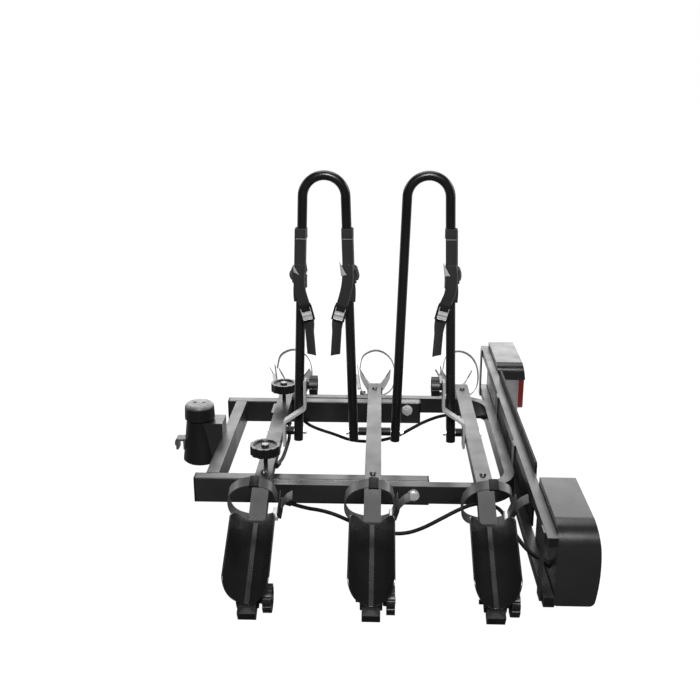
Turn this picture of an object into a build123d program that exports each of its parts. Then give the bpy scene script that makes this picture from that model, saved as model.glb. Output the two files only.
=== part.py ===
"""Hitch bike rack for three bikes, clamped on a tow ball.

Frame: the origin is the centre of the tow ball. +X runs back from the vehicle, +Y across it and +Z up.
"near" is the -Y side and "far" the +Y side. Rails, trays and hoops are numbered from the tow ball.
All sizes are in millimetres.
"""

from math import asin, atan2, cos, degrees, hypot, pi, radians, sin, tan

from build123d import *
import os

os.makedirs("parts", exist_ok=True)

# %% Driving dimensions

ball_d = 50.0
rail_pitch = 200.0  # from one bike's rail to the next
mid_x = 360.0  # tow ball to the middle rail
rail_top = 52.0  # top of the flat rails above the ball centre
rail_w = 30.0
rail_h = 20.0
rail_wall = 1.5
flat_half = 266.0  # half of a rail's flat part
ramp_reach = 492.0  # where a rail ends, from the middle
ramp_deg = 28.8  # fall of a rail's ends

beam_h = 50.0  # side tubes of the front frame
beam_w = 25.0
beam_y = 201.0
beam_wall = 2.0
beam_top = rail_top - rail_h - 0.4
beam_x0 = mid_x - 334.0
beam_x1 = mid_x + 104.0
cross_x = mid_x - 302.5
cross_w = 25.0

u_h = 35.0  # rear U-tube
u_w = 20.0
u_y = 227.0
u_x0 = mid_x - 213.0
u_x1 = mid_x + 267.0
u_bend = 65.0
u_top = rail_top - rail_h

pivot_x = mid_x + 74.0
pivot_z = u_top - u_h / 2
pivot_d = 12.0

hoop_d = 19.0
hoop_top = rail_top + 521.0 - hoop_d / 2
hoop_pivot_z = rail_top - 12.0
hoop_foot_z = rail_top - 32.0
hoop_foot_half = 57.5
hoop_arch_r = 41.2
hoop_x = (mid_x - 99.0, mid_x + 101.0)

lock_x = mid_x - 200.0  # tilt lock screws, through the first rail
lock_y = {"near": -197.0, "far": 142.0}
knob_d = 56.0
knob_h = 18.0
hub_h = 6.0

tray_d0 = 91.0  # places along a ramp, from the bend
tray_d1 = 244.0
tray_wing = 49.0
tray_half = 36.5
tray_t = 2.5
saddle_t = 2.3
strap_d = 64.0
strap_w = 18.0
knob_place = 224.0
tray_knob_d = 47.0

bar_half = 495.0  # lamp board bars
bar = 18.0
bar_x = u_x1 + 3.0 + bar / 2
bar_top_z = rail_top + 13.0
bar_low_z = rail_top - 91.0

lamp_x0 = bar_x + bar / 2 + 0.5
lamp_deep = 67.0
lamp_in = 302.0
lamp_out = 490.0
lamp_top = rail_top + 35.0
lamp_low = rail_top - 100.0

cable_d = 7.0

sides = {"near": -1, "far": 1}
rail_xs = [mid_x + rail_pitch * k for k in (-1, 0, 1)]
slope = radians(ramp_deg)


# %% Helpers


def save(piece, name):
    """Label a finished piece and write its file."""
    piece.part.label = name
    export_step(piece.part, f"parts/{name}.step")


def ramp_point(side, d, h, x=0.0):
    """A point at distance d down a ramp and height h off its surface."""
    y = flat_half + d * cos(slope) + h * sin(slope)
    return (x, side * y, rail_top - d * sin(slope) + h * cos(slope))


def across(side, d, x):
    """The plane square to a ramp at distance d: its x is along +-X, its y stands off the ramp."""
    return Plane(
        origin=ramp_point(side, d, 0, x),
        x_dir=(-side, 0, 0),
        z_dir=(0, side * cos(slope), -sin(slope)),
    )


def rail_outline(inset, past):
    """Side outline of a rail, shrunk by inset and its ends pushed out by past."""
    end_d = (ramp_reach - flat_half) / cos(slope)

    def end(h):
        _, y, z = ramp_point(1, end_d + past, -h)
        return y, z

    def bend(h):
        return flat_half - h * tan(slope / 2), rail_top - h

    upper, lower = inset, rail_h - inset
    half = [bend(upper), end(upper), end(lower), bend(lower)]
    return half + [(-y, z) for y, z in reversed(half)]


def knob_outline(size, tall, hub, shank_d, shank):
    """Half outline of a star knob, from its screw's tip up to its crown, with the base at zero."""
    return [
        (0, -hub - shank),
        (shank_d / 2, -hub - shank),
        (shank_d / 2, -hub),
        (size * 0.19, -hub),
        (size * 0.21, 0),
        (size / 2, 0),
        (size / 2, tall),
        (size * 0.40, tall),
        (size * 0.36, tall - 3),
        (size * 0.14, tall - 3),
        (size * 0.12, tall + 1),
        (0, tall + 1),
    ]


def make_knob(plane, name, size=knob_d, tall=knob_h, hub=hub_h, shank_d=8.0, shank=28.0, lobes=12):
    """A star knob moulded on its screw. The plane's z points out of the crown."""
    side_view = Plane(origin=plane.origin, x_dir=plane.x_dir, z_dir=-plane.y_dir)
    with BuildPart() as knob:
        with BuildSketch(side_view):
            with BuildLine():
                Polyline(*knob_outline(size, tall, hub, shank_d, shank), close=True)
            make_face()
        revolve(axis=Axis(plane.origin, plane.z_dir))
        with BuildSketch(plane.offset(-0.5)):
            with PolarLocations(size / 2 + size * 0.045, lobes):
                Circle(size * 0.075)
        extrude(amount=tall + 3, mode=Mode.SUBTRACT)
    save(knob, name)
    return knob


def cable_radii(points):
    """Arc radius for each corner of a cable's route."""
    route = [Vector(*p) for p in points]
    radii = []
    for a, b, c in zip(route, route[1:], route[2:]):
        turn = radians((b - a).get_angle(c - b))
        radii.append(0.45 * min((b - a).length, (c - b).length) / tan(turn / 2))
    return radii


def make_cable(name, points):
    """A round cable along straight runs joined by tangent arcs."""
    radii = cable_radii(points)
    with BuildPart() as cable:
        with BuildLine() as path:
            FilletPolyline(*points, radius=radii)
        start = Plane(origin=path.line @ 0, z_dir=path.line % 0)
        with BuildSketch(start):
            Circle(cable_d / 2)
        sweep(path=path.line)
    length = path.wire().length
    share = cable.part.volume / (length * pi * cable_d**2 / 4)
    print(f"{name}: length {length:.0f}, volume share {share:.4f}, least radius {min(radii):.0f}")
    save(cable, name)
    return cable


# %% Front frame: two side tubes, a cross tube and their plugs

for side_name, side in sides.items():
    with BuildPart() as side_tube:
        with BuildSketch(Plane.YZ.offset(beam_x0 + 3)) as section:
            with Locations((side * beam_y, beam_top - beam_h / 2)):
                RectangleRounded(beam_w, beam_h, 2.5)
                Rectangle(beam_w - 2 * beam_wall, beam_h - 2 * beam_wall, mode=Mode.SUBTRACT)
        extrude(amount=beam_x1 - beam_x0 - 6)
        with Locations(Location((pivot_x, side * beam_y, pivot_z), (90, 0, 0))):
            Cylinder(pivot_d / 2 + 0.05, beam_w + 2, mode=Mode.SUBTRACT)
        if side < 0:
            # clearance hole for the tilt lock screw, in the upper wall only
            with Locations((lock_x, lock_y["near"], beam_top)):
                Cylinder(5.5, 10, mode=Mode.SUBTRACT)
        else:
            # a lug reaches in from the tube, and the lock screw goes through it
            with BuildSketch(Plane.XY.offset(beam_top - 9)):
                with Locations((lock_x - 7, (lock_y["far"] - 16 + beam_y - beam_w / 2) / 2)):
                    RectangleRounded(42, beam_y - beam_w / 2 - lock_y["far"] + 16.02, 6)
            extrude(amount=6)
            with Locations((lock_x, lock_y["far"], beam_top - 6)):
                Cylinder(5.5, 12, mode=Mode.SUBTRACT)
    save(side_tube, f"side_tube_{side_name}")

with BuildPart() as cross_tube:
    cross_len = 2 * (beam_y - beam_w / 2)
    with BuildSketch(Plane.XZ.offset(-cross_len / 2)):
        with Locations((cross_x, beam_top - beam_h / 2)):
            RectangleRounded(cross_w, beam_h, 2.5)
            Rectangle(cross_w - 2 * beam_wall, beam_h - 2 * beam_wall, mode=Mode.SUBTRACT)
    extrude(amount=cross_len)
save(cross_tube, "cross_tube")

with BuildPart() as frame_end_caps:
    for x, inward in ((beam_x0, 1), (beam_x1, -1)):
        for y in (-beam_y, beam_y):
            with BuildSketch(Plane(origin=(x, y, beam_top - beam_h / 2), x_dir=(0, 1, 0), z_dir=(inward, 0, 0))):
                RectangleRounded(beam_w, beam_h, 2.4)
            extrude(amount=3)
            with BuildSketch(Plane(origin=(x + 3 * inward, y, beam_top - beam_h / 2), x_dir=(0, 1, 0), z_dir=(inward, 0, 0))):
                Rectangle(beam_w - 2 * beam_wall, beam_h - 2 * beam_wall)
                Rectangle(beam_w - 3 * beam_wall, beam_h - 3 * beam_wall, mode=Mode.SUBTRACT)
            extrude(amount=9)
save(frame_end_caps, "frame_end_caps")

# %% Tilt pivot: a bolt, a spacer, a washer and a nut on each side

with BuildPart() as tilt_pivot_bolts:
    for side in sides.values():
        head = Plane(origin=(pivot_x, side * (u_y + u_w / 2 + 0.3), pivot_z), z_dir=(0, side, 0))
        with BuildSketch(head):
            Circle(11)
        extrude(amount=2)
        with BuildSketch(head.offset(2)):
            Circle(9)
        extrude(amount=4, taper=25)
        inner = beam_y - beam_w / 2
        with BuildSketch(head):
            Circle(pivot_d / 2)
        extrude(amount=-(u_y + u_w / 2 + 0.3 - inner + 13))
        with BuildSketch(Plane(origin=(pivot_x, side * inner, pivot_z), z_dir=(0, -side, 0))):
            Circle(12)
        extrude(amount=2)
        with BuildSketch(Plane(origin=(pivot_x, side * (inner - 2), pivot_z), z_dir=(0, -side, 0))):
            RegularPolygon(10.4, 6)
        extrude(amount=9)
        # the spacer stands between the two tubes
        with BuildSketch(Plane(origin=(pivot_x, side * (beam_y + beam_w / 2), pivot_z), z_dir=(0, side, 0))):
            Circle(12)
        extrude(amount=u_y - u_w / 2 - beam_y - beam_w / 2 - 0.3)
save(tilt_pivot_bolts, "tilt_pivot_bolts")

# %% Coupling: a tapered body on the tow ball, its bracket, jaw, clamp knob and pad

body_x = 0.0
body_low = -27.0
body_top = 63.0
body_r_low = 38.0
body_r_top = 27.6
screw_d = 10.0
pad_r = 15.0
pad_z0 = 24.0
pad_z1 = 33.0

taper = [(0, body_low), (body_r_low - 4, body_low), (body_r_low, body_low + 4), (body_r_top, body_top), (0, body_top)]

with BuildPart() as coupling_body:
    with BuildSketch(Plane.XZ):
        with BuildLine():
            Polyline(*taper, close=True)
        make_face()
    revolve(axis=Axis.Z)
    # the socket: a straight mouth under a half ball
    with BuildSketch(Plane.XY.offset(body_low)):
        Circle(ball_d / 2 + 0.4)
    extrude(amount=2 - body_low, mode=Mode.SUBTRACT)
    with Locations((0, 0, 0)):
        Sphere(ball_d / 2 + 0.4, mode=Mode.SUBTRACT)
    with BuildSketch(Plane.XY.offset(18)):
        Circle(pad_r + 0.08)
    extrude(amount=pad_z1 + 0.6 - 18, mode=Mode.SUBTRACT)
    with BuildSketch(Plane.XY.offset(pad_z1)):
        Circle(screw_d / 2 + 0.08)
    extrude(amount=body_top - pad_z1 + 1, mode=Mode.SUBTRACT)
    # a flat where the jaw is welded on
    with BuildSketch(Plane.YZ.offset(-30)):
        with Locations((0, 10)):
            Rectangle(26, 30)
    extrude(amount=-20, mode=Mode.SUBTRACT)
save(coupling_body, "coupling_body")

with BuildPart() as coupling_bracket:
    weld_x = cross_x - cross_w / 2
    top = body_top
    with BuildSketch(Plane.XZ.offset(-25.5)):
        with BuildLine():
            Polyline((4, top), (weld_x + 5, top), (weld_x + 5, beam_top), (weld_x, beam_top), (weld_x, -10), (36, -12), (26, -8), (4, 45), close=True)
        make_face()
    extrude(amount=51)
    # a folded channel: open below, and cut to the body that it is welded on
    with BuildSketch(Plane.XZ.offset(-21.5)):
        with Locations((weld_x / 2 - 6, 10)):
            Rectangle(weld_x + 4, 2 * (top - 14))
    extrude(amount=43, mode=Mode.SUBTRACT)
    with BuildSketch(Plane.XZ):
        with BuildLine():
            Polyline(*taper, close=True)
        make_face()
    revolve(axis=Axis.Z, mode=Mode.SUBTRACT)
save(coupling_bracket, "coupling_bracket")

with BuildPart() as coupling_jaw:
    with BuildSketch(Plane.XZ.offset(-12.5)):
        with BuildLine():
            Polyline((-30, -2), (-30, 22), (-51, 22), (-51, -2), (-46, -2), (-46, 17), (-36, 17), (-36, -2), close=True)
        make_face()
    extrude(amount=25)
    with BuildSketch(Plane.YZ.offset(-51)):
        with Locations((0, 9)):
            RegularPolygon(6.5, 6)
    extrude(amount=-4)
save(coupling_jaw, "coupling_jaw")

knob_base = body_top + 1.0
cap_r = 31.0
cap_h = 36.0
with BuildPart() as clamp_knob:
    with BuildSketch(Plane.XZ):
        with BuildLine() as half:
            Polyline((0, pad_z0 + 3), (screw_d / 2, pad_z0 + 3), (screw_d / 2, knob_base), (cap_r - 3, knob_base), (cap_r, knob_base + 3), (cap_r - 1, knob_base + cap_h - 9))
            ThreePointArc((cap_r - 1, knob_base + cap_h - 9), (cap_r - 4, knob_base + cap_h - 3), (cap_r - 10, knob_base + cap_h - 1))
            Line((cap_r - 10, knob_base + cap_h - 1), (0, knob_base + cap_h))
            Line((0, knob_base + cap_h), (0, pad_z0 + 3))
        make_face()
    revolve(axis=Axis.Z)
    with BuildSketch(Plane.XY.offset(knob_base + 8)):
        with PolarLocations(cap_r + 1.2, 24):
            Circle(2.2)
    extrude(amount=cap_h - 20, mode=Mode.SUBTRACT)
    with BuildSketch(Plane.XY.offset(knob_base + cap_h - 2.5)):
        with Locations((-9, 0), (9, 0)):
            Circle(4)
    extrude(amount=4, mode=Mode.SUBTRACT)
save(clamp_knob, "clamp_knob")

with BuildPart() as clamp_pad:
    with BuildSketch(Plane.XY.offset(pad_z0)):
        Circle(pad_r)
        Circle(screw_d / 2 + 0.06, mode=Mode.SUBTRACT)
    extrude(amount=pad_z1 - pad_z0)
    with Locations((0, 0, 0)):
        Sphere(ball_d / 2 + 4.4, mode=Mode.SUBTRACT)
save(clamp_pad, "clamp_pad")

# %% Rails: one bent tube for each bike

for n, x in enumerate(rail_xs, 1):
    with BuildPart() as wheel_rail:
        with BuildSketch(Plane.YZ.offset(x - rail_w / 2)) as outer:
            with BuildLine():
                Polyline(*rail_outline(0, 0), close=True)
            make_face()
            bends = [v for v in outer.vertices() if abs(v.X) < flat_half + 5]
            fillet([v for v in bends if v.Y > rail_top - 1], 45)
            fillet([v for v in outer.vertices() if abs(v.X) < flat_half - 3 and v.Y < rail_top - rail_h + 1], 25)
        extrude(amount=rail_w)
        with BuildSketch(Plane.YZ.offset(x - rail_w / 2 + rail_wall)) as inner:
            with BuildLine():
                Polyline(*rail_outline(rail_wall, 5), close=True)
            make_face()
        extrude(amount=rail_w - 2 * rail_wall, mode=Mode.SUBTRACT)
        with Locations([(x, s * u_y, rail_top - rail_h / 2) for s in (-1, 1)]):
            Cylinder(3.2, rail_h + 2, mode=Mode.SUBTRACT)
        if n == 1:
            with Locations([(lock_x, y, rail_top - rail_h / 2) for y in lock_y.values()]):
                Cylinder(4.06, rail_h + 2, mode=Mode.SUBTRACT)
        with Locations(Location((x, 0, hoop_pivot_z), (0, 90, 0))):
            Cylinder(4.1, rail_w + 2, mode=Mode.SUBTRACT)
        for side in sides.values():
            centre = ramp_point(side, knob_place, -rail_h / 2, x)
            with Locations(Location(centre, (0, 90, 0))):
                Cylinder(4.06, rail_w + 2, mode=Mode.SUBTRACT)
    save(wheel_rail, f"wheel_rail_{n}")

ramp_len = (ramp_reach - flat_half) / cos(slope)
with BuildPart() as tube_end_caps:
    for x in rail_xs:
        for side in sides.values():
            mouth = across(side, ramp_len - 8, x)
            with BuildSketch(mouth):
                with Locations((0, -rail_h / 2)):
                    Rectangle(rail_w - 2 * rail_wall, rail_h - 2 * rail_wall)
            extrude(amount=8)
    for side in sides.values():
        with BuildSketch(Plane.YZ.offset(u_x0)):
            with Locations((side * u_y, u_top - u_h / 2)):
                Rectangle(u_w - 4, u_h - 4)
        extrude(amount=8)
        for z in (bar_top_z, bar_low_z):
            with BuildSketch(Plane(origin=(bar_x, side * (bar_half - 8), z), x_dir=(1, 0, 0), z_dir=(0, side, 0))):
                Rectangle(bar - 3, bar - 3)
            extrude(amount=8)
save(tube_end_caps, "tube_end_caps")

# %% Rear U-tube

with BuildPart() as rear_u_tube:
    with BuildSketch(Plane.XY.offset(u_top - u_h)):
        with BuildLine():
            reach = u_x1 - u_w / 2
            FilletPolyline((u_x0, -u_y), (reach, -u_y), (reach, u_y), (u_x0, u_y), radius=u_bend)
            offset(amount=u_w / 2, side=Side.BOTH, closed=True, kind=Kind.TANGENT)
        make_face()
    extrude(amount=u_h)
    with BuildSketch(Plane.XY.offset(u_top - u_h + 2)):
        with BuildLine():
            FilletPolyline((u_x0 - 4, -u_y), (reach, -u_y), (reach, u_y), (u_x0 - 4, u_y), radius=u_bend)
            offset(amount=u_w / 2 - 2, side=Side.BOTH, closed=True, kind=Kind.TANGENT)
        make_face()
    extrude(amount=u_h - 4, mode=Mode.SUBTRACT)
    with BuildSketch(Plane.YZ.offset(u_x0 - 20)):
        Rectangle(600, 300)
    extrude(amount=20, mode=Mode.SUBTRACT)
    with Locations([Location((pivot_x, s * u_y, pivot_z), (90, 0, 0)) for s in (-1, 1)]):
        Cylinder(pivot_d / 2 + 0.06, u_w + 2, mode=Mode.SUBTRACT)
    with Locations([(x, s * u_y, u_top - u_h / 2) for x in rail_xs for s in (-1, 1)]):
        Cylinder(3.2, u_h + 2, mode=Mode.SUBTRACT)
save(rear_u_tube, "rear_u_tube")

with BuildPart() as rail_bolts:
    for x in rail_xs:
        for y in (-u_y, u_y):
            with BuildSketch(Plane.XY.offset(rail_top)):
                with Locations((x, y)):
                    Circle(6.5)
            extrude(amount=4, taper=28)
            with BuildSketch(Plane.XY.offset(rail_top + 0.5)):
                with Locations((x, y)):
                    Circle(3)
            extrude(amount=-(rail_h + u_h + 9))
            with BuildSketch(Plane.XY.offset(u_top - u_h)):
                with Locations((x, y)):
                    RegularPolygon(5.8, 6)
            extrude(amount=-5.5)
save(rail_bolts, "rail_bolts")

# %% Hoops: two folding hoops, each leg on a cross bolt through the rails


arch_z = hoop_top - hoop_arch_r
lean = atan2(hoop_foot_half, arch_z - hoop_foot_z)
lean -= asin(hoop_arch_r / hypot(hoop_foot_half, arch_z - hoop_foot_z))


def leg_half(z):
    """Distance of a leg's centre from its hoop's middle at height z."""
    return hoop_foot_half - tan(lean) * (z - hoop_foot_z)


for n, cx in enumerate(hoop_x, 1):
    with BuildPart() as hoop:
        meet_x, meet_z = hoop_arch_r * cos(lean), arch_z + hoop_arch_r * sin(lean)
        foot_x = leg_half(hoop_foot_z + 4)
        with BuildLine(Plane.XZ) as run:
            Line((cx - foot_x, hoop_foot_z + 4), (cx - meet_x, meet_z))
            ThreePointArc((cx - meet_x, meet_z), (cx, hoop_top), (cx + meet_x, meet_z))
            Line((cx + meet_x, meet_z), (cx + foot_x, hoop_foot_z + 4))
        with BuildSketch(Plane(origin=run.line @ 0, z_dir=run.line % 0)):
            Circle(hoop_d / 2)
            Circle(hoop_d / 2 - 1.5, mode=Mode.SUBTRACT)
        sweep(path=run.line)
        with Locations([Location((cx + s * leg_half(hoop_pivot_z), 0, hoop_pivot_z), (0, 90, 0)) for s in (-1, 1)]):
            Cylinder(4.06, hoop_d + 4, mode=Mode.SUBTRACT)
        # plugs close the feet
        for s in (-1, 1):
            foot = Plane(origin=(cx + s * foot_x, 0, hoop_foot_z + 4), z_dir=(-s * tan(lean), 0, 1))
            with BuildSketch(foot.offset(-4)):
                Circle(hoop_d / 2)
            extrude(amount=7)
    save(hoop, f"hoop_{n}")

with BuildPart() as hoop_bolts:
    hoop_legs = [cx + s * leg_half(hoop_pivot_z) for cx in hoop_x for s in (-1, 1)]
    spans = [
        (rail_xs[0] - rail_w / 2, hoop_legs[0]),
        (hoop_legs[1], hoop_legs[2]),
        (hoop_legs[3], rail_xs[2] + rail_w / 2),
    ]
    for first, last in spans:
        x0 = first - (hoop_d / 2 + 0.6 if first in hoop_legs else 0)
        x1 = last + (hoop_d / 2 + 0.6 if last in hoop_legs else 0)
        with BuildSketch(Plane.YZ.offset(x0 - 5)):
            with Locations((0, hoop_pivot_z)):
                Circle(4)
        extrude(amount=x1 - x0 + 12)
        with BuildSketch(Plane.YZ.offset(x0 - 5)):
            with Locations((0, hoop_pivot_z)):
                RegularPolygon(7, 6)
        extrude(amount=5)
        with BuildSketch(Plane.YZ.offset(x1)):
            with Locations((0, hoop_pivot_z)):
                RegularPolygon(7, 6)
        extrude(amount=6)
save(hoop_bolts, "hoop_bolts")

with BuildPart() as hoop_spacers:
    gaps = [
        (rail_xs[0] + rail_w / 2, hoop_legs[0] - hoop_d / 2 - 0.5),
        (hoop_legs[1] + hoop_d / 2 + 0.5, rail_xs[1] - rail_w / 2),
        (rail_xs[1] + rail_w / 2, hoop_legs[2] - hoop_d / 2 - 0.5),
        (hoop_legs[3] + hoop_d / 2 + 0.5, rail_xs[2] - rail_w / 2),
    ]
    for x0, x1 in gaps:
        with BuildSketch(Plane.YZ.offset(x0)):
            with Locations((0, hoop_pivot_z)):
                Circle(8.5)
                Circle(4.05, mode=Mode.SUBTRACT)
        extrude(amount=x1 - x0)
save(hoop_spacers, "hoop_spacers")

# %% Hoop locks: a cranked plate on the outer rails and a knob that bears on the leg

lock_z = rail_top + 88.0
with BuildPart() as hoop_lock_plates:
    for cx, rail_x, out in ((hoop_x[0], rail_xs[0], 1), (hoop_x[1], rail_xs[2], -1)):
        foot_x = rail_x + out * rail_w / 2
        top_x = foot_x + out * 43
        with BuildSketch(Plane.XZ.offset(10.8)):
            with BuildLine():
                FilletPolyline((foot_x + out * 2.5, rail_top - 32), (foot_x + out * 2.5, rail_top + 17), (top_x + out * 2.5, rail_top + 48), (top_x + out * 2.5, rail_top + 106), radius=6)
                offset(amount=2.5, side=Side.BOTH, closed=True)
            make_face()
        extrude(amount=24)
        with BuildSketch(Plane.YZ.offset(min(top_x, top_x + out * 5))):
            with Locations((0, lock_z)):
                Circle(14)
                Circle(3.05, mode=Mode.SUBTRACT)
            with Locations((-11, lock_z)):
                Rectangle(20, 20)
            with Locations((0, lock_z)):
                Circle(3.05, mode=Mode.SUBTRACT)
        extrude(amount=5)
save(hoop_lock_plates, "hoop_lock_plates")

for n, (rail_x, out) in enumerate(((rail_xs[0], 1), (rail_xs[2], -1)), 1):
    plate_out = rail_x + out * (rail_w / 2 + 48)
    base = Plane(origin=(plate_out + out * 5.4, 0, lock_z), x_dir=(0, 1, 0), z_dir=(out, 0, 0))
    leg_x = hoop_x[n - 1] - out * (leg_half(lock_z) - hoop_d / 2)
    reach = abs(plate_out + out * 0.4 - leg_x) - 0.4
    make_knob(base, f"hoop_lock_knob_{n}", size=40, tall=16, hub=5, shank_d=6, shank=reach, lobes=8)

# %% Tilt locks: screws through the first rail into the front frame

for side_name, side in sides.items():
    base = Plane(origin=(lock_x, lock_y[side_name], rail_top + 18 + hub_h))
    make_knob(base, f"tilt_lock_knob_{side_name}", shank_d=8, shank=18 + rail_h + 12)

# %% Wheel trays, saddles, their knobs and the tyre straps


def wing(inner):
    """One side of a tray's section, from its floor to its lip."""
    grow = 0 if inner else tray_t
    return (4 + grow * 0.6, tray_t - grow), (22.5 + grow * 0.85, 23.5 - grow * 0.45), (tray_half + grow * 0.9, tray_wing - grow * 0.2)


band_t = 1.8
buckle_top, buckle_low = (39.5, 24.0), (35.0, -4.0)
strap_tail = [(46.9, 27.05), (50.5, 35.0), (55.5, 43.0), (64.0, 51.0)]
strap_rise = [(-16.6, -21.8), (-37, -10), (-47, 12), (-48, 38), (-43, 60), (-28, 80), (0, 90), (21, 83), (34, 66), (39.6, 44), buckle_top]
strap_fall = [buckle_low, (29, -15), (16.6, -21.8)]


def shifted(points, inward):
    """The same points moved inward by a band's thickness, square to the line through them."""
    moved = []
    for n, point in enumerate(points):
        a, b = points[max(n - 1, 0)], points[min(n + 1, len(points) - 1)]
        if point in (buckle_top, buckle_low):
            a, b = buckle_top, buckle_low
        run = hypot(b[0] - a[0], b[1] - a[1])
        moved.append((point[0] + inward * (b[1] - a[1]) / run, point[1] - inward * (b[0] - a[0]) / run))
    return moved


def strap_loop(inward, mode=Mode.ADD):
    """The face inside a tyre strap's loop, with a straight stretch under its buckle."""
    rise, fall = shifted(strap_rise, inward), shifted(strap_fall, inward)
    rise[0], fall[-1] = (-16.6, -21.8 + inward), (16.6, -21.8 + inward)
    with BuildLine(mode=Mode.PRIVATE) as edge:
        down = (buckle_low[0] - buckle_top[0], buckle_low[1] - buckle_top[1])
        Spline(*rise, tangents=((-0.9, 0.4), down))
        Line(rise[-1], fall[0])
        Spline(*fall, tangents=(down, (-0.9, -0.4)))
        Line(fall[-1], rise[0])
    make_face(edge.edges(), mode=mode)


for side_name, side in sides.items():
    for n, x in enumerate(rail_xs, 1):
        with BuildPart() as tray:
            with BuildSketch(across(side, tray_d0, x)):
                with Locations((0, saddle_t)):
                    with BuildLine() as edge:
                        for s in (-1, 1):
                            for inner in (True, False):
                                ThreePointArc(*[(s * px, pz + saddle_t) for px, pz in wing(inner)])
                            Line((s * wing(True)[2][0], wing(True)[2][1] + saddle_t), (s * wing(False)[2][0], wing(False)[2][1] + saddle_t))
                        for inner in (True, False):
                            Line((-wing(inner)[0][0], wing(inner)[0][1] + saddle_t), (wing(inner)[0][0], wing(inner)[0][1] + saddle_t))
                    make_face()
            extrude(amount=tray_d1 - tray_d0)
            # side view: rounded lip corners, cut down the whole tray
            start = ramp_point(side, 0, 0, x)
            view = Plane(origin=(x - 60, start[1], start[2]), x_dir=(0, side * cos(slope), -sin(slope)), z_dir=(side, 0, 0))
            with BuildSketch(view) as lip:
                top = saddle_t + tray_wing + 1
                with BuildLine():
                    Polyline((tray_d0, -1), (tray_d0, top), (tray_d1, top), (tray_d1, -1), close=True)
                make_face()
                upper = lip.vertices().group_by(Axis.Y)[-1].sort_by(Axis.X)
                fillet(upper[0], 24)
                fillet(lip.vertices().group_by(Axis.Y)[-1].sort_by(Axis.X)[-1], 34)
                fillet(lip.vertices().group_by(Axis.Y)[0].sort_by(Axis.X)[-1], 9)
            extrude(amount=side * 120, mode=Mode.INTERSECT)
        save(tray, f"tray_{side_name}_{n}")

    for n, x in enumerate(rail_xs, 1):
        out = -side
        seat = x + out * (rail_w / 2 + 3.3 + 0.4 + hub_h)
        centre = ramp_point(side, knob_place, -rail_h / 2, seat)
        base = Plane(origin=centre, x_dir=(0, 1, 0), z_dir=(out, 0, 0))
        make_knob(base, f"tray_knob_{side_name}_{n}", size=tray_knob_d, tall=14, shank=rail_w + 14)

    with BuildPart() as tyre_straps:
        for x in rail_xs:
            with BuildSketch(across(side, strap_d - strap_w / 2, x)):
                strap_loop(0)
                strap_loop(band_t, mode=Mode.SUBTRACT)
                with BuildLine():
                    tail = [(px, pz) for px, pz in strap_tail[: 4 if side < 0 else 3]]
                    over = [(px - 1.6, pz + 0.71) for px, pz in reversed(tail)]
                    Polyline(*tail, *over, close=True)
                make_face()
            extrude(amount=strap_w)
    save(tyre_straps, f"tyre_straps_{side_name}")

with BuildPart() as tray_saddles:
    for side in sides.values():
        for x in rail_xs:
            with BuildSketch(across(side, 84, x)):
                with Locations((0, saddle_t - 9)):
                    Rectangle(rail_w + 6.6, 18)
                with Locations((0, -10)):
                    Rectangle(rail_w, 20, mode=Mode.SUBTRACT)
            extrude(amount=240 - 84)
            with Locations(Location(ramp_point(side, knob_place, -rail_h / 2, x), (0, 90, 0))):
                Cylinder(4.06, rail_w + 20, mode=Mode.SUBTRACT)
save(tray_saddles, "tray_saddles")

with BuildPart() as tyre_buckles:
    for side in sides.values():
        for x in rail_xs:
            with BuildSketch(across(side, strap_d - strap_w / 2 - 2, x)):
                with BuildLine():
                    Polyline(buckle_top, buckle_low, (41.5, -6.5), (46, 18), (47, 27), (42.5, 29), close=True)
                make_face()
            extrude(amount=strap_w + 4)
save(tyre_buckles, "tyre_buckles")

# %% Lamp board: two bars on posts, with a holder for the number plate

with BuildPart() as lamp_bars:
    for z in (bar_top_z, bar_low_z):
        with BuildSketch(Plane.XZ.offset(-bar_half)):
            with Locations((bar_x, z)):
                RectangleRounded(bar, bar, 1.6)
                Rectangle(bar - 3, bar - 3, mode=Mode.SUBTRACT)
        extrude(amount=2 * bar_half)
save(lamp_bars, "lamp_bars")

with BuildPart() as board_posts:
    for y in (-466, -130, 130, 466):
        with BuildSketch(Plane.YZ.offset(u_x1)):
            with Locations((y, (bar_top_z + bar_low_z) / 2)):
                Rectangle(25, bar_top_z - bar_low_z + bar)
        extrude(amount=3)
save(board_posts, "board_posts")

plate_x = bar_x + bar / 2
with BuildPart() as plate_holder:
    with BuildSketch(Plane.YZ.offset(plate_x)):
        with Locations((0, rail_top - 26)):
            RectangleRounded(510, 128, 6)
    extrude(amount=4)
    with BuildSketch(Plane.YZ.offset(plate_x + 2)):
        with Locations((0, rail_top - 26)):
            RectangleRounded(502, 120, 4)
    extrude(amount=3, mode=Mode.SUBTRACT)
save(plate_holder, "plate_holder")

# %% Lamps: a hood, a grey body and a red lens on each side


def hood_outline(side, shrink):
    """Corners of a lamp's hood seen along X, open at the bottom."""
    return [
        (side * (lamp_in + shrink), lamp_top - 36),
        (side * (lamp_in + shrink), lamp_top - shrink),
        (side * (lamp_out - shrink), lamp_top - shrink),
        (side * (lamp_out - shrink), lamp_low),
    ]


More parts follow.
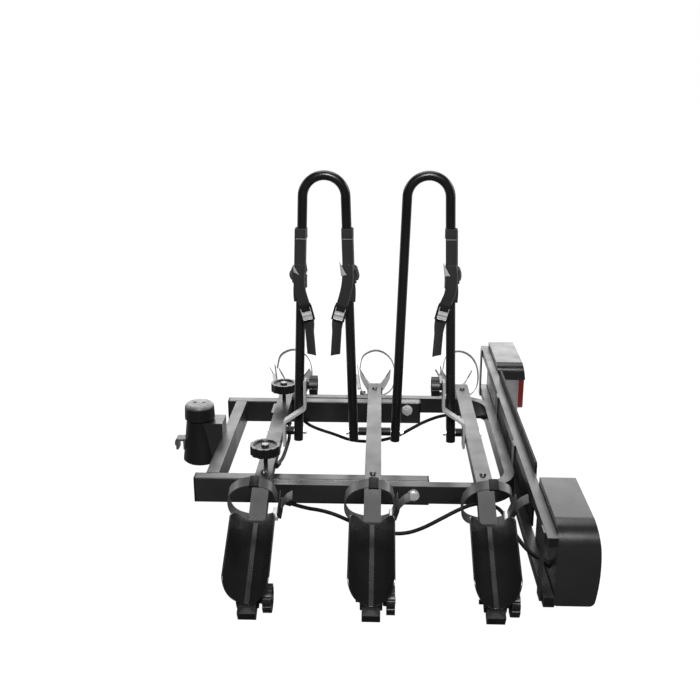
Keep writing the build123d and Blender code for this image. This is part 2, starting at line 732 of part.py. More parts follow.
hood_x0 = plate_x
hood_x1 = hood_x0 + lamp_deep - 2
body_x1 = hood_x1 - 12
for side_name, side in sides.items():
    # both lamps are round on the side towards the camera and square on the other
    out_r, in_r = (40, 6) if side < 0 else (7, 22)
    with BuildPart() as lamp_hood:
        with BuildSketch(Plane.YZ.offset(hood_x0)) as front:
            with Locations((side * (lamp_in + lamp_out) / 2, (lamp_top + lamp_low) / 2)):
                Rectangle(lamp_out - lamp_in, lamp_top - lamp_low)
            fillet(front.vertices().sort_by_distance((side * lamp_out, lamp_top, 0))[0], out_r)
            fillet(front.vertices().sort_by_distance((side * lamp_in, lamp_top, 0))[0], in_r)
        extrude(amount=3)
        with BuildSketch(Plane.YZ.offset(hood_x0 + 3)):
            with BuildLine():
                FilletPolyline(*hood_outline(side, 1.5), radius=(in_r - 1.5, out_r - 1.5))
                offset(amount=1.5, side=Side.BOTH, closed=True)
            make_face()
        extrude(amount=hood_x1 - hood_x0 + 2)
        # seen from the side, its rear edge bows out and its lower corner is round
        with BuildSketch(Plane.XZ.offset(-600)) as bow:
            with BuildLine():
                Polyline((hood_x1 - 4, lamp_top + 1), (hood_x0 - 1, lamp_top + 1), (hood_x0 - 1, lamp_low - 1), (hood_x1 - 2, lamp_low - 1))
                ThreePointArc((hood_x1 - 2, lamp_low - 1), (hood_x1 + 4, rail_top - 45), (hood_x1 - 4, lamp_top + 1))
            make_face()
            fillet(bow.vertices().sort_by_distance((hood_x1 - 2, lamp_low - 1, 0))[0], 10)
        extrude(amount=1200, mode=Mode.INTERSECT)
    save(lamp_hood, f"lamp_hood_{side_name}")

    with BuildPart() as lamp_body:
        for shrink, x0, mode in ((3.5, hood_x0 + 3, Mode.ADD), (6.0, hood_x0 + 6, Mode.SUBTRACT)):
            with BuildSketch(Plane.YZ.offset(x0)) as block:
                with Locations((side * (lamp_in + lamp_out) / 2, (lamp_top + lamp_low) / 2)):
                    Rectangle(lamp_out - lamp_in - 2 * shrink, lamp_top - lamp_low - 2 * shrink)
                fillet(block.vertices().sort_by_distance((side * lamp_out, lamp_top, 0))[0], max(out_r - shrink, 1))
                fillet(block.vertices().sort_by_distance((side * lamp_in, lamp_top, 0))[0], max(in_r - shrink, 1))
            extrude(amount=body_x1 - x0, mode=mode)
        # the rear wall, which the lens is glued to
        with BuildSketch(Plane.YZ.offset(body_x1 - 2.5)) as back:
            with Locations((side * (lamp_in + lamp_out) / 2, (lamp_top + lamp_low) / 2)):
                Rectangle(lamp_out - lamp_in - 7, lamp_top - lamp_low - 7)
            fillet(back.vertices().sort_by_distance((side * lamp_out, lamp_top, 0))[0], out_r - 3.5)
            fillet(back.vertices().sort_by_distance((side * lamp_in, lamp_top, 0))[0], in_r - 3.5)
        extrude(amount=2.5)
    save(lamp_body, f"lamp_body_{side_name}")

    with BuildPart() as lamp_lens:
        with BuildSketch(Plane.YZ.offset(body_x1)):
            with Locations((side * (lamp_in + lamp_out) / 2, rail_top - 38)):
                RectangleRounded(lamp_out - lamp_in - 10, 76, 6)
        extrude(amount=13)
        fillet(lamp_lens.faces().sort_by(Axis.X)[-1].edges(), 3)
    save(lamp_lens, f"lamp_lens_{side_name}")

# %% Cables, with the boots that they leave the tubes by

rail_side = rail_xs[0] + rail_w / 2
first_cable = [
    (rail_side + 5.5, 40, 38),
    (rail_side + 9, 14, 26.5),
    (rail_side + 10.5, -20, 26.5),
    (rail_side + 11, -58, 31),
    (rail_side + 9.5, -100, 31),
    (rail_side + 7.5, -132, 33),
    (rail_side + 4.5, -160, 38.5),
]
near_cable = [
    (209, -231, -9.5),
    (236, -241, -13),
    (264, -250, -12),
    (292, -258, -16),
    (320, -265, -26),
    (356, -270, -38),
    (396, -275, -44.5),
    (424, -274.5, -43),
    (452, -271, -34),
    (484, -265, -18),
    (515, -256, -4),
    (544, -250, 6),
    (568, -256, 9),
    (586, -275, 10),
    (594, -305, 7),
    (600, -336, 3),
    (607, -363, 0),
    (615, -386, -4),
    (627, -407, -7),
    (640, -423, -8),
]
far_cable = [
    (182, 174, 27),
    (190, 180, 0),
    (208, 184, -22),
    (236, 178, -32),
    (270, 165, -37),
    (304, 142, -41),
    (340, 122, -36),
    (375, 115, -30),
    (412, 116, -19.5),
    (440, 121, -4),
    (470, 126, 12),
    (505, 134, 23),
    (545, 141, 26),
    (578, 140, 18.5),
    (598, 147, 16.5),
]
make_cable("cable_rail", first_cable)
make_cable("cable_near", near_cable)
make_cable("cable_far", far_cable)


boots = [
    (first_cable[0], first_cable[1]),
    (first_cable[-1], first_cable[-2]),
    (near_cable[0], near_cable[1]),
    (near_cable[-1], near_cable[-2]),
    (far_cable[0], far_cable[1]),
    (far_cable[-1], far_cable[-2]),
]
# each boot is cut flat on the wall that it stands against
walls = [
    ((rail_side - 15, 0, 42), (30, 500, 100)),
    ((200, -u_y, u_top - u_h + 15), (80, 60, 30)),
    ((hood_x0 + 15, -440, 0), (30, 80, 80)),
    ((u_x1 - u_w + 15, 150, 15), (30, 80, 80)),
]
with BuildPart() as cable_boots:
    for end, before in boots:
        way = (Vector(*end) - Vector(*before)).normalized()
        with BuildSketch(Plane(origin=Vector(*end), z_dir=way)):
            Circle(5.5)
        extrude(amount=20)
    for centre, size in walls:
        with Locations(centre):
            Box(*size, mode=Mode.SUBTRACT)
save(cable_boots, "cable_boots")

# %% Webbing straps with cam buckles, on three of the hoop legs

web_w = 23.0
web_t = 1.6
web_y = hoop_d / 2 + web_t
straps = [
    (hoop_x[0], -1, [(-1, -20), (-4, -46), (-3, -70), (6, -104), (13, -132), (15.5, -163), (18.3, -204)]),
    (hoop_x[0], 1, [(0, -20), (1, -46), (-2, -70), (-11, -104), (-18.5, -131), (-21, -163), (-23.7, -204)]),
    (hoop_x[1], 1, [(0, -20), (3, -46), (0, -76), (-8, -98), (-17, -133), (-20, -167), (-22, -204)]),
]
knot_z = rail_top + 362.0
loop_top = rail_top + 411.0


def strap_path(cx, s, offsets):
    """The webbing's centre line in the hoop's own plane, from the knot down to its free end."""
    return [(cx + s * leg_half(knot_z) + dx, knot_z + dz) for dx, dz in offsets]


for n, cx in enumerate(hoop_x, 1):
    with BuildPart() as leg_straps:
        for hoop_cx, s, offsets in [row for row in straps if row[0] == cx]:
            axis = Plane(
                origin=(cx + s * leg_half(knot_z - 64), 0, knot_z - 64),
                z_dir=(-s * tan(lean), 0, 1),
            )
            with BuildSketch(axis):
                Circle(hoop_d / 2 + web_t)
                Circle(hoop_d / 2, mode=Mode.SUBTRACT)
            extrude(amount=loop_top - knot_z + 64)
            # the knot is a rounded wrap, wider than the loop
            with BuildSketch(axis.offset(6)):
                RectangleRounded(32, 29, 8)
                Circle(hoop_d / 2, mode=Mode.SUBTRACT)
            extrude(amount=39)
            with BuildSketch(Plane.XZ.offset(web_y)):
                with BuildLine():
                    FilletPolyline(*strap_path(cx, s, offsets), radius=30)
                    offset(amount=web_w / 2, side=Side.BOTH, closed=True)
                make_face()
            extrude(amount=web_t)
    save(leg_straps, f"leg_straps_{n}")

    with BuildPart() as cam_buckles:
        for hoop_cx, s, offsets in [row for row in straps if row[0] == cx]:
            path = strap_path(cx, s, offsets)
            (x0, z0), (x1, z1) = path[3], path[4]
            tilt = degrees(atan2(x0 - x1, z0 - z1))
            spot = ((x0 + x1) / 2, (z0 + z1) / 2)
            with BuildSketch(Plane.XZ.offset(web_y + web_t)):
                with Locations(Location(spot, -tilt)):
                    RectangleRounded(27, 29, 2)
            extrude(amount=5)
            with BuildSketch(Plane.XZ.offset(web_y + web_t + 5)):
                with Locations(Location(spot, -tilt)):
                    RectangleRounded(20, 23, 2)
            extrude(amount=2.5, taper=20)
    save(cam_buckles, f"cam_buckles_{n}")
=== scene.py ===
# %% [markdown]
# # A hitch bike rack in a white studio
#
# The rack is black, so nearly everything the eye reads comes from how its surfaces shine: light on the
# faces that look up, near black on the faces that look at the camera. The metal and plastic parts come
# in finished from the frame and get their finishes here. The webbing, its buckles, the cables and the
# small fittings are modelled in this file. Lengths are in metres, with X along the car, Y across it and
# Z up from the tow ball.

# %% Load the rack
import bpy
import bmesh
from math import atan2, cos, pi, radians, sin, tan
from mathutils import Matrix, Vector


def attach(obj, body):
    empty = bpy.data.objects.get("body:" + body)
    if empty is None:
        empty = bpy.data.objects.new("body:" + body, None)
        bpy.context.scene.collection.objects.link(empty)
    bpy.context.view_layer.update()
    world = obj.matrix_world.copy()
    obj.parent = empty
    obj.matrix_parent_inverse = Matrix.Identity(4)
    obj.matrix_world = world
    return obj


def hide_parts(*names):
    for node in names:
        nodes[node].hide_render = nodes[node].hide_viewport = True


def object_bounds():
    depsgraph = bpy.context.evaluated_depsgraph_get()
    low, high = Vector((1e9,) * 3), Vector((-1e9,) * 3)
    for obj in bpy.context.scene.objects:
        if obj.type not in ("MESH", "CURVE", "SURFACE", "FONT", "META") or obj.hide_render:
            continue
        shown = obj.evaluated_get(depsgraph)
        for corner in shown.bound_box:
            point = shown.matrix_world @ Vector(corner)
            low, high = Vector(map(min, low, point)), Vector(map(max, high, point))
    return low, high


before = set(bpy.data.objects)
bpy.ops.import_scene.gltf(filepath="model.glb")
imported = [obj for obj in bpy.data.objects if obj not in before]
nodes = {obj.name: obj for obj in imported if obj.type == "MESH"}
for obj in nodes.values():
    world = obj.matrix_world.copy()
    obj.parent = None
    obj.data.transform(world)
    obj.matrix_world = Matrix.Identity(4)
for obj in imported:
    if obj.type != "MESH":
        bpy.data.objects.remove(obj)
cad_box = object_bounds()
bpy.ops.object.select_all(action="DESELECT")
print("CAD box", [[round(v, 3) for v in corner] for corner in cad_box])

# %% [markdown]
# ## The camera
#
# The photograph looks down at about 18 degrees from in front of the rack's side. The focal length and
# the place were worked out from the rails, which are parallel and evenly spaced, so the perspective
# matches and every part can be compared with the photograph.

# %% Place the camera
FOCAL_MM, SENSOR_MM = 47.17, 36
LOOKS_DOWN, LOOKS_LEFT = radians(17.63), radians(1.89)

camera_data = bpy.data.cameras.new("camera")
camera_data.lens = FOCAL_MM
camera_data.sensor_width = SENSOR_MM
camera = bpy.data.objects.new("camera", camera_data)
camera.location = (0.3685, -1.7561, 0.7743)
camera.rotation_euler = (pi / 2 - LOOKS_DOWN, 0, LOOKS_LEFT)
bpy.context.collection.objects.link(camera)
bpy.context.scene.camera = camera
print("camera", round(camera_data.lens, 1), "mm, at height", round(camera.location.z, 3))

# %% [markdown]
# ## Floor, world and lamps
#
# A product photograph of a black object on white is lit by one large soft light overhead and by the
# white room round it. The floor and the world show white to the camera, but they light the rack only as
# much as such a studio would. Their nodes do simple sums on a place or a direction, and the finishes
# further down use the same sums, so these come first as helpers.

# %% Node helpers


def feed(tree, value, socket):
    """Gives a socket its value: a plain number, or another node's output."""
    if isinstance(value, bpy.types.NodeSocket):
        tree.links.new(value, socket)
    else:
        socket.default_value = value


def combine(tree, operation, first, second):
    """A Math node on two values."""
    node = tree.nodes.new("ShaderNodeMath")
    node.operation = operation
    feed(tree, first, node.inputs[0])
    feed(tree, second, node.inputs[1])
    return node.outputs[0]


def between(tree, value, low, high, start=0.3, end=0.7):
    """Stretches a value that goes from start to end so that it runs from low to high."""
    node = tree.nodes.new("ShaderNodeMapRange")
    node.inputs["From Min"].default_value = start
    node.inputs["From Max"].default_value = end
    node.inputs["To Min"].default_value = low
    node.inputs["To Max"].default_value = high
    tree.links.new(value, node.inputs["Value"])
    return node.outputs[0]


def along_axis(tree, coords, axis):
    """One axis of the given texture coordinates."""
    where = tree.nodes.new("ShaderNodeTexCoord")
    axes = tree.nodes.new("ShaderNodeSeparateXYZ")
    tree.links.new(where.outputs[coords], axes.inputs[0])
    return axes.outputs[axis]


def grey(level, blue=0.0):
    """A grey, with a little more or less blue in it."""
    return (level, level, level + blue)


# %% [markdown]
# The floor is a dark plane that glows white for camera rays alone, so it shows white, takes the rack's
# shadow and doesn't light the tubes from below. Its far half also glows for every other ray, because the
# sides of the round upright legs mirror it and get their light rims from it.

# %% Floor
FLOOR_Z = cad_box[0][2]
SHOWN_WHITE, FAR_GLOW = 0.96, 0.6

bpy.ops.mesh.primitive_plane_add(size=30, location=(0.35, 0, FLOOR_Z))
floor = bpy.context.object
floor.name = "floor"
floor_finish = bpy.data.materials.new("floor_white")
floor_finish.use_nodes = True
tree = floor_finish.node_tree
tree.nodes.clear()
out = tree.nodes.new("ShaderNodeOutputMaterial")
diffuse = tree.nodes.new("ShaderNodeBsdfDiffuse")
diffuse.inputs["Color"].default_value = (*grey(0.12), 1)
glow = tree.nodes.new("ShaderNodeEmission")
glow.inputs["Color"].default_value = (*grey(1), 1)
path = tree.nodes.new("ShaderNodeLightPath")
both = tree.nodes.new("ShaderNodeAddShader")
shown = combine(tree, "MULTIPLY", path.outputs["Is Camera Ray"], SHOWN_WHITE)
far_half = between(tree, along_axis(tree, "Object", "Y"), 0, FAR_GLOW, 0.02, 0.35)
tree.links.new(combine(tree, "MAXIMUM", shown, far_half), glow.inputs["Strength"])
tree.links.new(diffuse.outputs[0], both.inputs[0])
tree.links.new(glow.outputs[0], both.inputs[1])
tree.links.new(both.outputs[0], out.inputs["Surface"])
floor.data.materials.append(floor_finish)
print("floor at", round(FLOOR_Z, 3))

# %% [markdown]
# The world lights the rack with a band above the horizon, brightest behind the rack. A level face, seen
# from 18 degrees above, mirrors the sky at 18 degrees, in the middle of the band, and turns light grey.
# A face that leans towards the camera mirrors the dimmer sky above the band and stays black. World
# coordinates give a direction, so Z is the sine of its height: the band is full from 13 to 26 degrees up.

# %% World
BAND_LOW, BAND_HIGH, BAND_END = 0.22, 0.435, 0.475
BEHIND, IN_FRONT, SKY_SHARE, LEAST = 4.6, 0.16, 0.22, 0.03

world = bpy.data.worlds.new("studio")
bpy.context.scene.world = world
world.use_nodes = True
tree = world.node_tree
tree.nodes.clear()
out = tree.nodes.new("ShaderNodeOutputWorld")
to_camera = tree.nodes.new("ShaderNodeBackground")
to_camera.inputs["Color"].default_value = (*grey(1), 1)
to_rack = tree.nodes.new("ShaderNodeBackground")
path = tree.nodes.new("ShaderNodeLightPath")
mix = tree.nodes.new("ShaderNodeMixShader")
height = along_axis(tree, "Generated", "Z")
up = between(tree, height, 0, 1, 0, BAND_LOW)
behind = between(tree, along_axis(tree, "Generated", "Y"), IN_FRONT, BEHIND, 0, 0.85)
above = between(tree, height, 1, SKY_SHARE, BAND_HIGH, BAND_END)
band = combine(tree, "MULTIPLY", combine(tree, "MULTIPLY", up, behind), above)
tree.links.new(combine(tree, "MAXIMUM", band, LEAST), to_rack.inputs["Strength"])
tree.links.new(path.outputs["Is Camera Ray"], mix.inputs["Fac"])
tree.links.new(to_rack.outputs[0], mix.inputs[1])
tree.links.new(to_camera.outputs[0], mix.inputs[2])
tree.links.new(mix.outputs[0], out.inputs["Surface"])
bpy.context.scene.view_settings.view_transform = "Standard"

# %% [markdown]
# Three soft lamps finish the light: one overhead, a weak one on the right for the lamp board, and one
# above the camera, without which the faces that look at it would be plain black.

# %% Lamps


def soft_lamp(name, place, aim, size, watts):
    """A square area lamp at place that points at aim."""
    data = bpy.data.lights.new(name, "AREA")
    data.size = size
    data.energy = watts
    lamp = bpy.data.objects.new(name, data)
    lamp.location = place
    lamp.rotation_euler = (Vector(aim) - Vector(place)).to_track_quat("-Z", "Y").to_euler()
    bpy.context.collection.objects.link(lamp)


soft_lamp("overhead", place=(0.35, 0.7, 2.4), aim=(0.35, 0, 0.1), size=1.8, watts=34)
soft_lamp("right", place=(3.0, 0.6, 1.2), aim=(0.5, 0, 0.1), size=1.6, watts=20)
soft_lamp("front", place=(0.5, -2.5, 2.05), aim=(0.4, 0, 0.3), size=0.9, watts=85)

# %% [markdown]
# ## Finishes
#
# Each finish is a few nodes on one shader. Powder coat is a thick, slightly pebbled paint: a fine noise
# bumps it, and a broad noise makes it a little shinier in places. Moulded plastic has a finer, duller
# grain. All patterns read Object coordinates, which stay put because no part is moved.

# %% Helpers for finishes


def shader_of(tree):
    """The one Principled shader of a finish."""
    return tree.nodes["Principled BSDF"]


def new_finish(name, colour, roughness, metallic=0.0, coat=0.0):
    """A material with one Principled shader."""
    finish = bpy.data.materials.new(name)
    finish.use_nodes = True
    shader = shader_of(finish.node_tree)
    shader.inputs["Base Color"].default_value = (*colour, 1)
    shader.inputs["Roughness"].default_value = roughness
    shader.inputs["Metallic"].default_value = metallic
    shader.inputs["Coat Weight"].default_value = coat
    return finish


def noise_at(tree, scale, detail=2.0):
    """A noise texture on the piece's own coordinates."""
    where = tree.nodes.new("ShaderNodeTexCoord")
    noise = tree.nodes.new("ShaderNodeTexNoise")
    noise.inputs["Scale"].default_value = scale
    noise.inputs["Detail"].default_value = detail
    tree.links.new(where.outputs["Object"], noise.inputs["Vector"])
    return noise.outputs["Fac"]


def blend(tree, value, dark, light):
    """A colour that runs from dark to light with value."""
    mix = tree.nodes.new("ShaderNodeMix")
    mix.data_type = "RGBA"
    tree.links.new(value, mix.inputs["Factor"])
    for colour, name in ((dark, "A"), (light, "B")):
        feed(tree, colour if isinstance(colour, bpy.types.NodeSocket) else (*colour, 1), mix.inputs[name])
    return mix.outputs["Result"]


def vary_colour(tree, value, dark, light):
    """Base colour runs from dark to light with value."""
    tree.links.new(blend(tree, value, dark, light), shader_of(tree).inputs["Base Color"])


def bump(tree, height, strength, depth):
    """Raises the surface by height times depth, on top of any bump it already has."""
    node = tree.nodes.new("ShaderNodeBump")
    node.inputs["Strength"].default_value = strength
    node.inputs["Distance"].default_value = depth
    tree.links.new(height, node.inputs["Height"])
    normal = shader_of(tree).inputs["Normal"]
    if normal.is_linked:
        tree.links.new(normal.links[0].from_socket, node.inputs["Normal"])
    tree.links.new(node.outputs[0], normal)


def coated(name, dark, light, roughness, grain=1400, depth=0.00006, gloss=0.5):
    """Powder coat or moulded plastic: two colours a shade apart, a fine grain and uneven shine."""
    finish = new_finish(name, dark, roughness)
    tree = finish.node_tree
    shader = shader_of(tree)
    shader.inputs["Specular IOR Level"].default_value = gloss
    vary_colour(tree, between(tree, noise_at(tree, scale=9, detail=4), 0, 1), dark, light)
    shine = between(tree, noise_at(tree, scale=23, detail=5), roughness - 0.07, roughness + 0.07)
    tree.links.new(shine, shader.inputs["Roughness"])
    bump(tree, noise_at(tree, grain), 0.35, depth)
    return finish


# %% [markdown]
# The frame and the rails are powder coated in a satin black. The hoops are glossier, the coupling is a
# rougher casting, and the two cranked plates that lock the hoops are light grey. The paints differ only
# in shade, shine and grain.

# %% Paint
# the common black of paint and plastic, from its darker to its lighter patches
BLACK = grey(0.006, 0.0005), grey(0.010, 0.0005)

powder_black = coated("powder_black", grey(0.009, 0.0005), grey(0.014, 0.001), 0.33, gloss=0.75)
hoop_black = coated("hoop_black", *BLACK, 0.24, grain=1100, gloss=0.4)
casting_black = coated("casting_black", *BLACK, 0.42, grain=700, depth=0.00014, gloss=0.25)
jaw_grey = coated("jaw_grey", grey(0.035, 0.001), grey(0.16), 0.40, grain=600, depth=0.00012)
plate_grey = coated("plate_grey", grey(0.36), grey(0.48), 0.40, grain=500)

# %% [markdown]
# The plastics are the knobs, end plugs, trays, lamp hoods, number plate holder, tyre straps with the
# small mouldings on them, and the cables' sheath. Each is one more coat with its own shine and grain.

# %% Plastic
knob_black = coated("knob_black", *BLACK, 0.34, grain=1800, gloss=0.4)
plug_black = coated("plug_black", grey(0.004), grey(0.007), 0.45, grain=1800, gloss=0.25)
tray_black = coated("tray_black", grey(0.006, 0.0005), grey(0.009, 0.0005), 0.27, grain=900, gloss=0.6)
hood_grey = coated("hood_grey", grey(0.012, 0.0005), grey(0.018, 0.001), 0.25, grain=1300, gloss=0.42)
plate_black = coated("plate_black", grey(0.005, 0.0005), grey(0.009, 0.0005), 0.5, grain=1300, gloss=0.15)
strap_grey = coated("strap_grey", grey(0.045, 0.001), grey(0.095, 0.001), 0.36, grain=800)
clip_white = coated("clip_white", grey(0.62, -0.01), grey(0.74, -0.01), 0.35, grain=900)
sleeve_black = coated("sleeve_black", grey(0.004), grey(0.007), 0.5, grain=1500, gloss=0.3)
cable_black = coated("cable_black", grey(0.004), grey(0.008), 0.45, grain=2200, gloss=0.12)

# %% [markdown]
# The clamp's cap is painted a pale grey on top, a painted highlight for the overhead light its top catches,
# and black down its side. The height in Object coordinates tells the two apart, with a noise that breaks up
# the line between them.

# %% Cap with a painted highlight on top


def corners_of(node_name):
    """The corners of the box round one of the frame's parts."""
    node = nodes[node_name]
    return [node.matrix_world @ Vector(corner) for corner in node.bound_box]


cap_painted_light_top = coated("cap_painted_light_top", *BLACK, 0.42, grain=1500, gloss=0.45)
tree = cap_painted_light_top.node_tree
CAP_TOP = max(corner.z for corner in corners_of("clamp_knob"))
top = between(tree, along_axis(tree, "Object", "Z"), 0, 1, CAP_TOP - 0.010, CAP_TOP - 0.002)
patches = between(tree, noise_at(tree, scale=90, detail=4), 0.35, 1)
# painted highlight: the cap's top turns pale grey, standing in for the overhead light it catches
vary_colour(tree, combine(tree, "MULTIPLY", top, patches), BLACK[0], grey(0.30))
print("cap top at", round(CAP_TOP, 3))

# %% [markdown]
# The two tilt lock knobs carry a pale cap over their screw and a scuffed rim. The distance from the
# knob's own axis draws the cap, in Object coordinates, with a Mapping node that puts the axis at zero.
# The height draws the rim, and keeps both marks off the knob's foot.

# %% Tilt lock knobs
PALE_CAP_R, PALE_CAP_FADE = 0.0060, 0.0052  # the pale cap's edge, and where it starts to fade
RIM, RIM_FADE = 0.0012, 0.0016  # below the knob's top
FOOT, FOOT_FADE = 0.0120, 0.0130  # below the knob's top


def marked_knob(name, node_name):
    """Black plastic with a pale cap in the middle of the top and a scuffed rim."""
    finish = coated(name, *BLACK, 0.34, grain=1800, gloss=0.4)
    tree = finish.node_tree
    corners = corners_of(node_name)
    axis = sum(corners, Vector()) / len(corners)
    top = max(corner.z for corner in corners)
    print(name, "axis at", round(axis.x, 3), round(axis.y, 3), "top at", round(top, 3))
    where = tree.nodes.new("ShaderNodeTexCoord")
    centred = tree.nodes.new("ShaderNodeMapping")
    centred.inputs["Location"].default_value = (-axis.x, -axis.y, 0)
    centred.inputs["Scale"].default_value = (1, 1, 0)
    distance = tree.nodes.new("ShaderNodeVectorMath")
    distance.operation = "LENGTH"
    tree.links.new(where.outputs["Object"], centred.inputs["Vector"])
    tree.links.new(centred.outputs[0], distance.inputs[0])
    height = along_axis(tree, "Object", "Z")
    cap = between(tree, distance.outputs["Value"], 1, 0, PALE_CAP_FADE, PALE_CAP_R)
    rim = between(tree, height, 0, 0.45, top - RIM_FADE, top - RIM)
    specks = between(tree, noise_at(tree, scale=140, detail=3), 0.2, 1, 0.42, 0.58)
    marks = combine(tree, "MAXIMUM", cap, combine(tree, "MULTIPLY", specks, rim))
    above_foot = between(tree, height, 0, 1, top - FOOT_FADE, top - FOOT)
    vary_colour(tree, combine(tree, "MULTIPLY", marks, above_foot), grey(0.007, 0.0005), grey(0.36))
    return finish


knob_near = marked_knob("knob_near", "tilt_lock_knob_near")
knob_far = marked_knob("knob_far", "tilt_lock_knob_far")

# %% [markdown]
# The tyre straps' ratchet buckles are the same moulding in two colours, black on the near side and pale
# on the far side. They come in as one part, so the colour changes with Y in Object coordinates.

# %% Ratchet buckles
buckle_mixed = coated("buckle_mixed", grey(0.02), grey(0.03), 0.38, grain=900)
tree = buckle_mixed.node_tree
far_side = between(tree, along_axis(tree, "Object", "Y"), 0, 1, -0.01, 0.01)
vary_colour(tree, far_side, grey(0.022), grey(0.55, -0.01))

# %% [markdown]
# Zinc plating is a bright metal with a faint grain from rolling and a soft, slightly milky shine. The
# lamp's side is clear smoky plastic over a grey core, and its lens is ribbed red plastic.

# %% Metal and lamp finishes
zinc_bright = new_finish("zinc_bright", grey(0.66, 0.01), 0.32, metallic=0.55)
tree = zinc_bright.node_tree
vary_colour(tree, between(tree, noise_at(tree, scale=120, detail=5), 0, 1), grey(0.66, 0.01), grey(0.86))
shine = between(tree, noise_at(tree, scale=300, detail=4), 0.24, 0.42)
tree.links.new(shine, shader_of(tree).inputs["Roughness"])

lever_grey = new_finish("lever_grey", grey(0.36, 0.005), 0.45, metallic=0.3)
tree = lever_grey.node_tree
patches = between(tree, noise_at(tree, scale=500, detail=3), 0, 1)
vary_colour(tree, patches, grey(0.40, 0.005), grey(0.62, 0.005))
bump(tree, noise_at(tree, 1600), 0.4, 0.00008)

smoky_grey = new_finish("smoky_grey", grey(0.22, 0.01), 0.18, coat=0.4)
tree = smoky_grey.node_tree
patches = between(tree, noise_at(tree, scale=14, detail=3), 0, 1)
vary_colour(tree, patches, grey(0.17, 0.01), grey(0.30, 0.01))
bump(tree, noise_at(tree, 260), 0.25, 0.0002)

lens_red = new_finish("lens_red", (0.50, 0.02, 0.015), 0.14, coat=0.6)
tree = lens_red.node_tree
where = tree.nodes.new("ShaderNodeTexCoord")
ribs = tree.nodes.new("ShaderNodeTexWave")
ribs.bands_direction = "Y"
ribs.inputs["Scale"].default_value = 42
tree.links.new(where.outputs["Object"], ribs.inputs["Vector"])
vary_colour(tree, ribs.outputs["Fac"], (0.16, 0.006, 0.005), (0.32, 0.014, 0.010))
bump(tree, ribs.outputs["Fac"], 0.5, 0.0006)

# %% [markdown]
# Webbing is woven tape. Its weave follows the tape round every fold, so the pattern reads the piece's UV
# map, which is in metres across and along the tape: a slight twill, crossed with fine ribs. One edge is
# painted paler, a painted highlight where the tape's edge catches the light. A little sheen stands for the
# fibres that stick out. The tape's underside, which shows where a corner is folded over, is painted a light
# satin grey, a painted sheen for the light it catches, and the sewing thread is pale.

# %% Webbing finishes
# across the UV map: where the painted highlight on one edge of the tape starts, and where it is full
EDGE_HIGHLIGHT_FROM, TAPE_EDGE = 0.0205, 0.0222

webbing_black = new_finish("webbing_black", grey(0.012, 0.001), 0.72)
tree = webbing_black.node_tree
shader_of(tree).inputs["Sheen Weight"].default_value = 0.15
shader_of(tree).inputs["Sheen Roughness"].default_value = 0.5
where = tree.nodes.new("ShaderNodeTexCoord")
twill = tree.nodes.new("ShaderNodeTexWave")
twill.bands_direction = "DIAGONAL"
twill.inputs["Scale"].default_value = 190
twill.inputs["Distortion"].default_value = 0.4
rows = tree.nodes.new("ShaderNodeTexWave")
rows.bands_direction = "X"
rows.inputs["Scale"].default_value = 150
tree.links.new(where.outputs["UV"], twill.inputs["Vector"])
tree.links.new(where.outputs["UV"], rows.inputs["Vector"])
weave = combine(tree, "MULTIPLY", twill.outputs["Fac"], rows.outputs["Fac"])
woven = blend(tree, weave, grey(0.006, 0.0005), grey(0.026, 0.001))
# painted highlight: one edge of the tape turns paler, standing in for the light it catches
painted_edge_highlight = between(tree, along_axis(tree, "UV", "X"), 0, 1, EDGE_HIGHLIGHT_FROM, TAPE_EDGE)
vary_colour(tree, painted_edge_highlight, woven, grey(0.09))
bump(tree, weave, 0.8, 0.0004)
bump(tree, noise_at(tree, 1500), 0.3, 0.0001)

# painted sheen: the folded corner's light grey stands for the light its upturned face catches
webbing_painted_sheen = coated("webbing_painted_sheen", grey(0.30), grey(0.50), 0.42, grain=900, gloss=0.6)
thread_pale = coated("thread_pale", grey(0.30), grey(0.42), 0.7, grain=2500)

# %% [markdown]
# ## Dressing the frame's own parts
#
# The tubes come in with sharp edges. A real folded or drawn tube has a small radius that catches the
# light as a thin bright line, so most parts get a Bevel modifier. Their points are welded first, because
# the bevel has to know which faces share an edge. The three wheel rails stay as they come in, because
# on a top that is drilled through, as theirs is, the bevel draws dark lines from hole to hole.

# %% Give every part its finish
finish_of = {
    "side_tube": powder_black, "cross_tube": powder_black, "coupling_bracket": powder_black,
    "rear_u_tube": powder_black, "board_posts": powder_black, "lamp_bars": powder_black,
    "wheel_rail": powder_black, "rail_bolts": powder_black, "hoop_lock_plates": plate_grey,
    "hoop_1": hoop_black, "hoop_2": hoop_black,
    "coupling_body": casting_black, "coupling_jaw": jaw_grey,
    "frame_end_caps": plug_black, "tube_end_caps": plug_black, "tray_saddles": plug_black,
    "hoop_spacers": plug_black, "cable_boots": plug_black,
    "clamp_knob": cap_painted_light_top, "tilt_lock_knob_near": knob_near, "tilt_lock_knob_far": knob_far,
    "hoop_lock_knob": knob_black, "tray_knob": knob_black,
    "tray_near": tray_black, "tray_far": tray_black,
    "tilt_pivot_bolts": zinc_bright, "hoop_bolts": zinc_bright, "clamp_pad": zinc_bright,
    "tyre_straps": strap_grey, "tyre_buckles": buckle_mixed,
    "plate_holder": plate_black, "lamp_hood": hood_grey, "lamp_body": smoky_grey,
    "lamp_lens": lens_red, "cam_buckles": lever_grey, "leg_straps": webbing_black,
    "cable_near": cable_black, "cable_far": cable_black, "cable_rail": cable_black,
}
